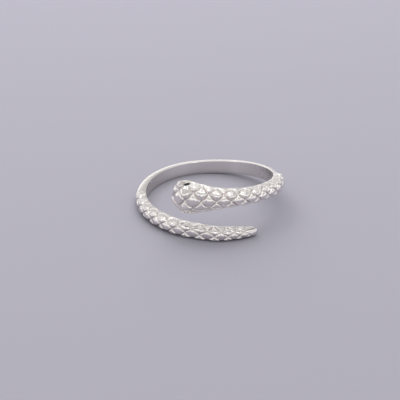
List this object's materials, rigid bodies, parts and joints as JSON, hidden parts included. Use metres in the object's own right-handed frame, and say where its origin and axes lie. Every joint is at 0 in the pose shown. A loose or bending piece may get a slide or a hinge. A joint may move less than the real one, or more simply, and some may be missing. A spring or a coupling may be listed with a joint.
{
  "type": "snake ring",
  "caption": "Open finger ring cast as a coiled snake: smooth band at the back, scaled arms, and a broad head with small dark eyes that passes over a tapered tail.",
  "frame": {"origin": "on the finger hole's axis, in the plane that the ring lies on", "axes": "+Z along the finger hole, from the tail's side to the head's side; the head and tail cross at -Y and the smooth back of the band is at +Y"},
  "size_m": [0.0204, 0.0207, 0.0077],
  "materials": {
    "silver": "polished",
    "black_stone": "polished"
  },
  "bodies": {
    "root": {"ring_body": "silver", "eye_upper": "black_stone", "eye_lower": "black_stone"}
  },
  "joints": []
}
